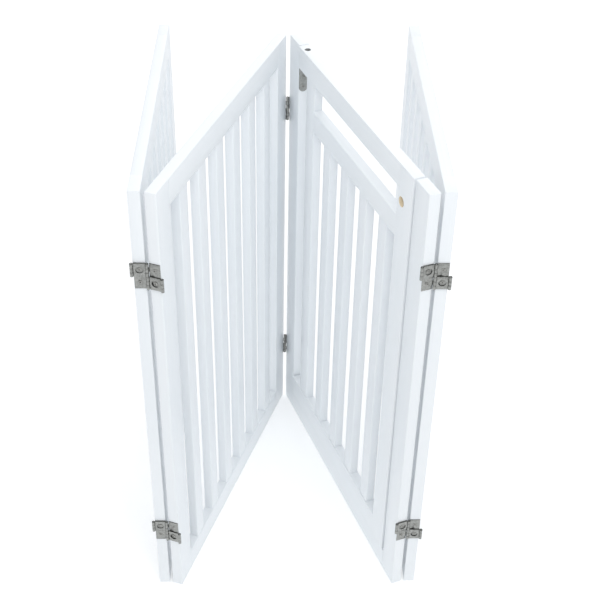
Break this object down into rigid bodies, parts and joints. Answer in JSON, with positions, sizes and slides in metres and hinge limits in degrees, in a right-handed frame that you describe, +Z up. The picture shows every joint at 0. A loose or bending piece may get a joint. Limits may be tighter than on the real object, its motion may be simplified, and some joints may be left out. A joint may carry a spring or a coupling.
{
  "type": "folding pet gate",
  "caption": "Freestanding folding pet gate: slatted wooden panels in a zigzag on double-action hinges, with a lift-and-swing walk-through door in one panel.",
  "frame": {"origin": "centre of the standing gate's footprint box, on the floor", "axes": "+Z up, +X to the right and +Y away from a person who faces the open side of the middle V"},
  "size_m": [0.4514, 0.5358, 0.8],
  "materials": {
    "paint": "white satin paint over wood board",
    "nickel": "satin nickel plate",
    "screw": "nickel plate"
  },
  "bodies": {
    "door_frame": {"door_frame_front_stile": "paint", "door_frame_back_stile": "paint", "door_frame_sill": "paint", "pivot_bracket": "nickel", "panel_3_hinge_base_leaves": "nickel", "panel_3_hinge_raised_leaves": "nickel", "panel_3_hinge_pins": "nickel", "panel_3_screws": "screw"},
    "panel_1": {"panel_1_front_stile": "paint", "panel_1_back_stile": "paint", "panel_1_top_rail": "paint", "panel_1_bottom_rail": "paint", "panel_1_slat_1": "paint", "panel_1_slat_2": "paint", "panel_1_slat_3": "paint", "panel_1_slat_4": "paint", "panel_1_slat_5": "paint", "panel_1_slat_6": "paint", "panel_1_hinge_base_leaves": "nickel", "panel_1_hinge_raised_leaves": "nickel", "panel_1_hinge_pins": "nickel", "panel_1_screws": "screw"},
    "panel_2": {"panel_2_front_stile": "paint", "panel_2_back_stile": "paint", "panel_2_top_rail": "paint", "panel_2_bottom_rail": "paint", "panel_2_slat_1": "paint", "panel_2_slat_2": "paint", "panel_2_slat_3": "paint", "panel_2_slat_4": "paint", "panel_2_slat_5": "paint", "panel_2_slat_6": "paint", "panel_2_hinge_base_leaves": "nickel", "panel_2_hinge_raised_leaves": "nickel", "panel_2_hinge_pins": "nickel", "panel_2_screws": "screw"},
    "panel_4": {"panel_4_front_stile": "paint", "panel_4_back_stile": "paint", "panel_4_top_rail": "paint", "panel_4_bottom_rail": "paint", "panel_4_slat_1": "paint", "panel_4_slat_2": "paint", "panel_4_slat_3": "paint", "panel_4_slat_4": "paint", "panel_4_slat_5": "paint", "panel_4_slat_6": "paint", "panel_4_hinge_base_leaves": "nickel", "panel_4_hinge_raised_leaves": "nickel", "panel_4_hinge_pins": "nickel", "panel_4_screws": "screw"},
    "pivot_pins": {"door_pivot_pins": "nickel"},
    "door": {"door_front_stile": "paint", "door_back_upright": "paint", "door_top_rail": "paint", "door_middle_rail": "paint", "door_bottom_rail": "paint", "door_slat_1": "paint", "door_slat_2": "paint", "door_slat_3": "paint", "door_slat_4": "paint"}
  },
  "joints": [
    {"name": "fold_2", "type": "hinge", "parent": "door_frame", "child": "panel_2", "pos_m": [0, 0.23116, 0], "axis": [0, 0, -1], "range_deg": [-40, 140]},
    {"name": "fold_1", "type": "hinge", "parent": "panel_2", "child": "panel_1", "pos_m": [-0.20134, -0.25798, 0], "axis": [0, 0, 1], "range_deg": [-19.5, 160.5]},
    {"name": "fold_3", "type": "hinge", "parent": "door_frame", "child": "panel_4", "pos_m": [0.20134, -0.25798, 0], "axis": [0, 0, -1], "range_deg": [-20, 160]},
    {"name": "door_swing", "type": "hinge", "parent": "door_frame", "child": "pivot_pins", "pos_m": [0.03056, 0.17337, 0], "axis": [0, 0, -1], "range_deg": [0, 45]},
    {"name": "door_lift", "type": "slide", "parent": "pivot_pins", "child": "door", "axis": [0, 0, 1], "range_m": [0, 0.02]}
  ]
}
